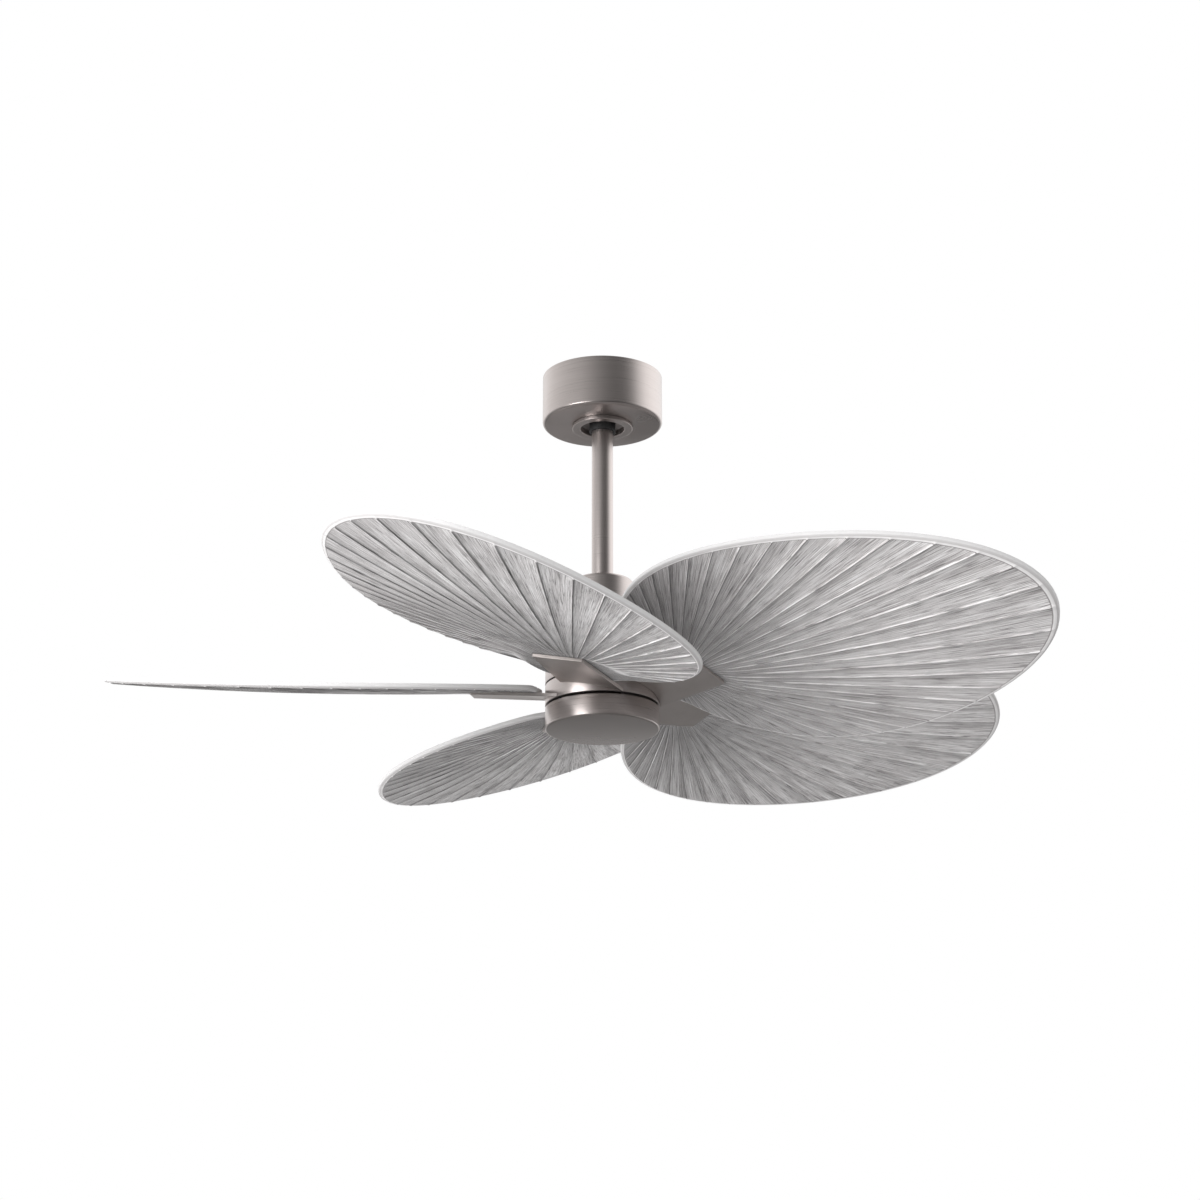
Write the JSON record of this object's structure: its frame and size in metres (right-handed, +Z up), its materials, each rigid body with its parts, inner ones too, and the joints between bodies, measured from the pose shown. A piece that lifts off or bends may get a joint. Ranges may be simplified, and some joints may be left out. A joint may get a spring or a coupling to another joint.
{
  "type": "ceiling fan",
  "caption": "Ceiling fan hung on a short downrod, with broad pleated palm-leaf blades on flat arms round a drum-shaped hub, and a cup canopy.",
  "frame": {"origin": "on the downrod's axis in the plane of the ceiling, at the top of the ceiling bracket", "axes": "+Z straight up along the downrod, +X along the ceiling bracket to the right of the picture's camera, +Y away from that camera"},
  "size_m": [1.1343, 1.1739, 0.4681],
  "materials": {
    "brushed_nickel": "satin warm grey brushed nickel plate on steel",
    "palm_blade": "matt moulded blade with greyed palm-leaf grain",
    "black_plastic": "matt black moulded plastic",
    "zinc_steel": "zinc-plated steel",
    "bearing_steel": "ground bearing steel",
    "cast_aluminium": "die-cast aluminium, as cast",
    "laminated_steel": "varnished steel laminations",
    "copper": "enamelled copper wire",
    "ferrite": "sintered ferrite",
    "circuit_board": "solder-masked circuit board"
  },
  "bodies": {
    "ceiling_mount": {"ceiling_bracket": "zinc_steel", "canopy": "brushed_nickel", "canopy_trim_ring": "brushed_nickel", "canopy_screw_1": "zinc_steel", "canopy_screw_2": "zinc_steel", "bracket_screw_1": "zinc_steel", "bracket_screw_2": "zinc_steel"},
    "hanger_pin": {"hanger_pin": "zinc_steel"},
    "motor_drop": {"hanger_ball": "black_plastic", "downrod": "brushed_nickel", "rod_coupler": "zinc_steel", "clevis_pin": "zinc_steel", "clevis_clip": "zinc_steel", "rod_set_screw": "zinc_steel", "housing_screw_1": "zinc_steel", "housing_screw_2": "zinc_steel", "coupling_cover": "brushed_nickel", "motor_housing": "brushed_nickel", "motor_shaft": "bearing_steel", "stator_core": "laminated_steel", "stator_winding": "copper", "upper_bearing_inner_race": "bearing_steel", "lower_bearing_inner_race": "bearing_steel", "shaft_spacer": "zinc_steel", "cap_plate": "zinc_steel", "shaft_nut": "zinc_steel", "driver_board": "circuit_board", "bottom_cap": "brushed_nickel"},
    "rotor": {"rotor_bell": "cast_aluminium", "magnet_ring": "ferrite", "rotor_plate": "brushed_nickel", "upper_bearing_outer_race": "bearing_steel", "lower_bearing_outer_race": "bearing_steel", "upper_bearing_balls": "bearing_steel", "lower_bearing_balls": "bearing_steel", "blade_arm_1": "brushed_nickel", "blade_1": "palm_blade", "arm_bolt_1": "zinc_steel", "blade_screw_1_1": "zinc_steel", "blade_screw_1_2": "zinc_steel", "blade_arm_2": "brushed_nickel", "blade_2": "palm_blade", "arm_bolt_2": "zinc_steel", "blade_screw_2_1": "zinc_steel", "blade_screw_2_2": "zinc_steel", "blade_arm_3": "brushed_nickel", "blade_3": "palm_blade", "arm_bolt_3": "zinc_steel", "blade_screw_3_1": "zinc_steel", "blade_screw_3_2": "zinc_steel", "blade_arm_4": "brushed_nickel", "blade_4": "palm_blade", "arm_bolt_4": "zinc_steel", "blade_screw_4_1": "zinc_steel", "blade_screw_4_2": "zinc_steel", "blade_arm_5": "brushed_nickel", "blade_5": "palm_blade", "arm_bolt_5": "zinc_steel", "blade_screw_5_1": "zinc_steel", "blade_screw_5_2": "zinc_steel"}
  },
  "joints": [
    {"name": "hanger_swing_x", "type": "hinge", "parent": "ceiling_mount", "child": "hanger_pin", "pos_m": [0, 0, -0.034], "axis": [1, 0, 0], "range_deg": [-12, 12]},
    {"name": "hanger_swing_y", "type": "hinge", "parent": "hanger_pin", "child": "motor_drop", "pos_m": [0, 0, -0.034], "axis": [0, 1, 0], "range_deg": [-12, 12]},
    {"name": "rotor_spin", "type": "hinge", "parent": "motor_drop", "child": "rotor", "pos_m": [0, 0, -0.408], "axis": [0, 0, 1], "continuous": true}
  ]
}
